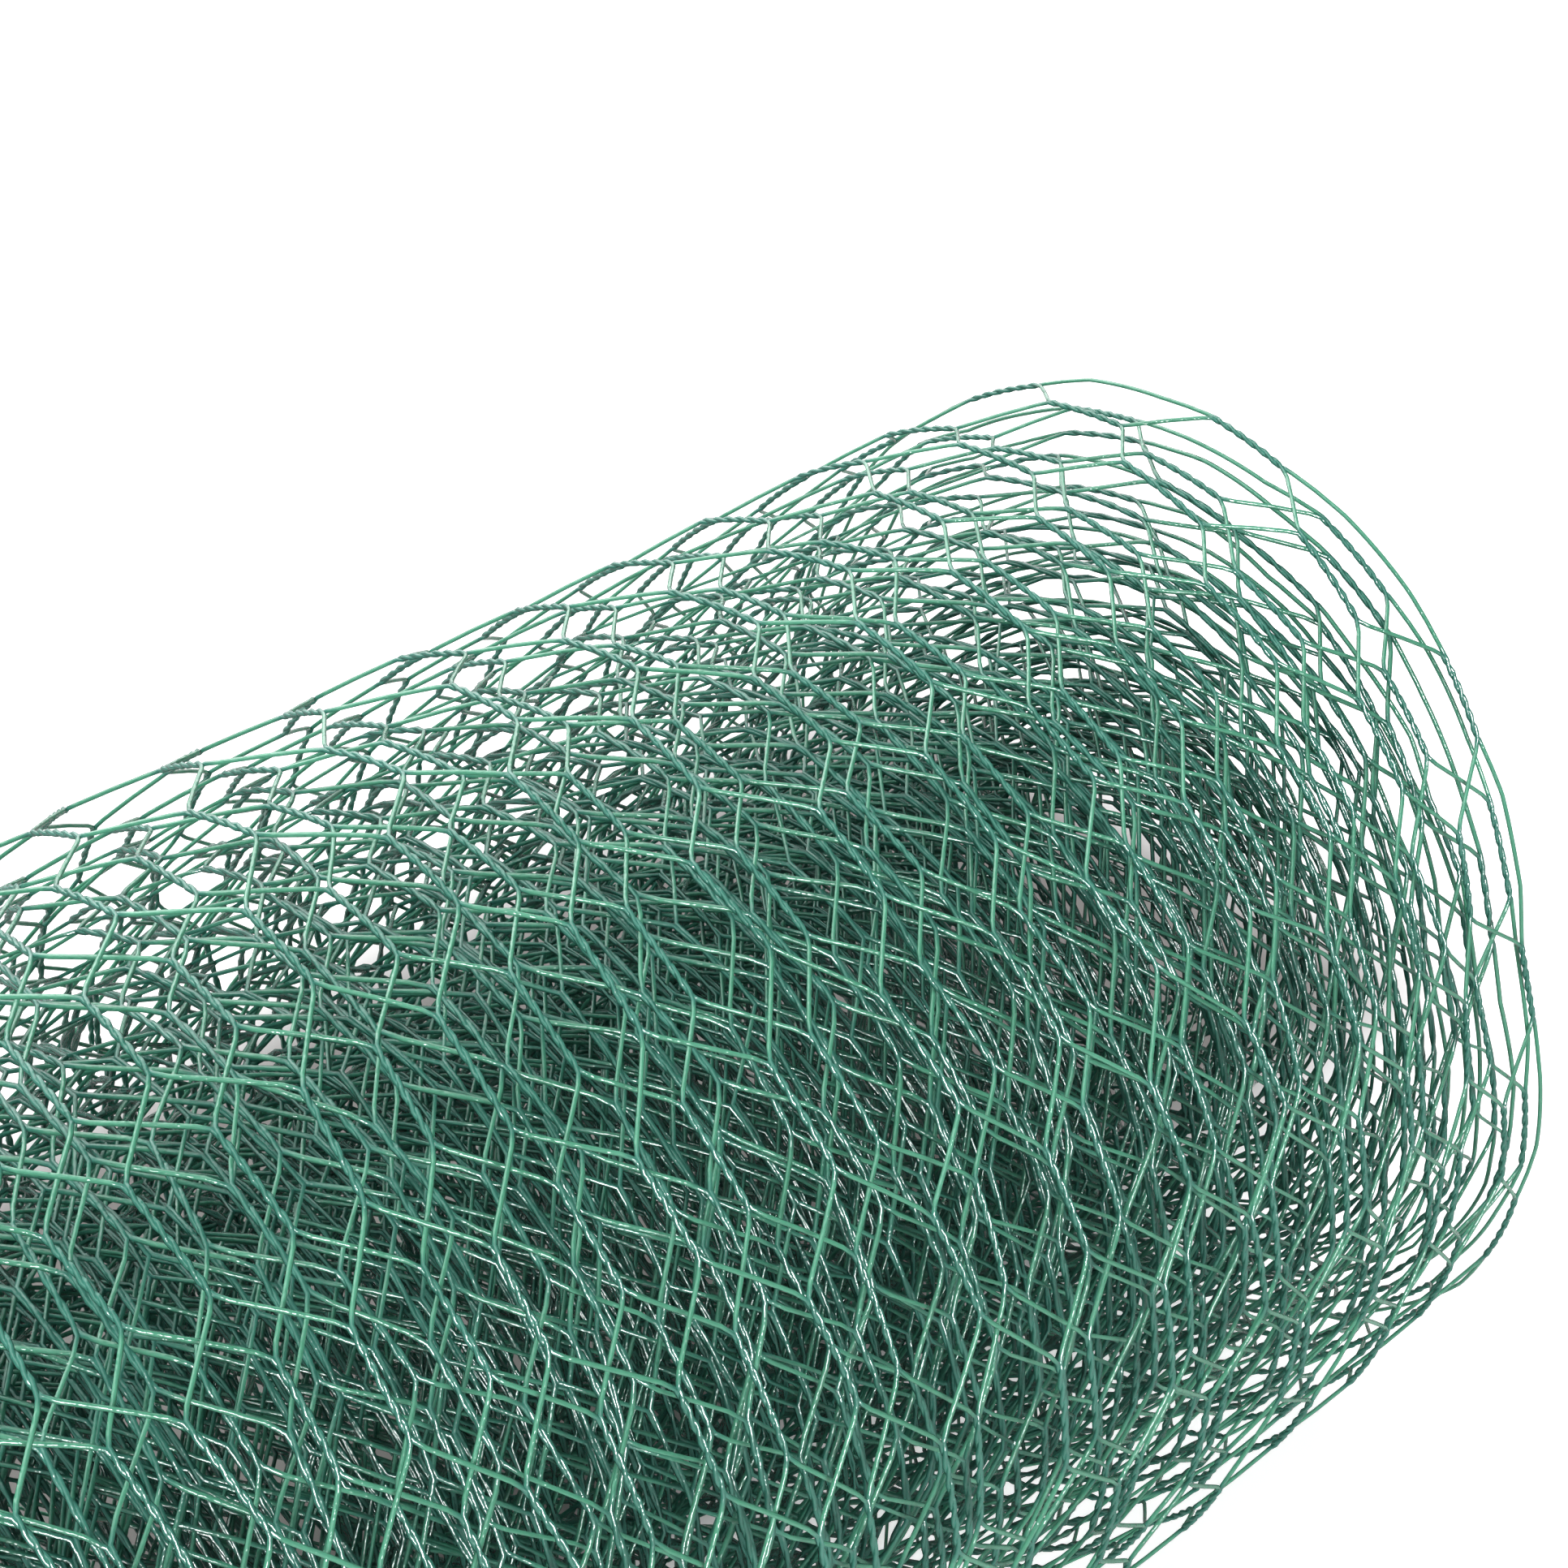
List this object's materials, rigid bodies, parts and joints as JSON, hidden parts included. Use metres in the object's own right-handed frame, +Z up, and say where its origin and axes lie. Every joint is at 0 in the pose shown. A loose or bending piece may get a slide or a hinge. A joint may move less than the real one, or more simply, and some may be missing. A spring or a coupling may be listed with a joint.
{
  "type": "wire netting roll",
  "caption": "Roll of green plastic-coated hexagonal wire netting, wound loosely on itself with an open bore, lying on its side.",
  "frame": {"origin": "on the floor below the middle of the roll", "axes": "+X along the roll's axis, +Z up"},
  "size_m": [0.5, 0.2219, 0.222],
  "materials": {
    "coated_wire": "green PVC coating on galvanised steel wire, glossy, faded a little on the outer turns"
  },
  "bodies": {
    "root": {"wire_netting_roll": "coated_wire"}
  },
  "joints": []
}
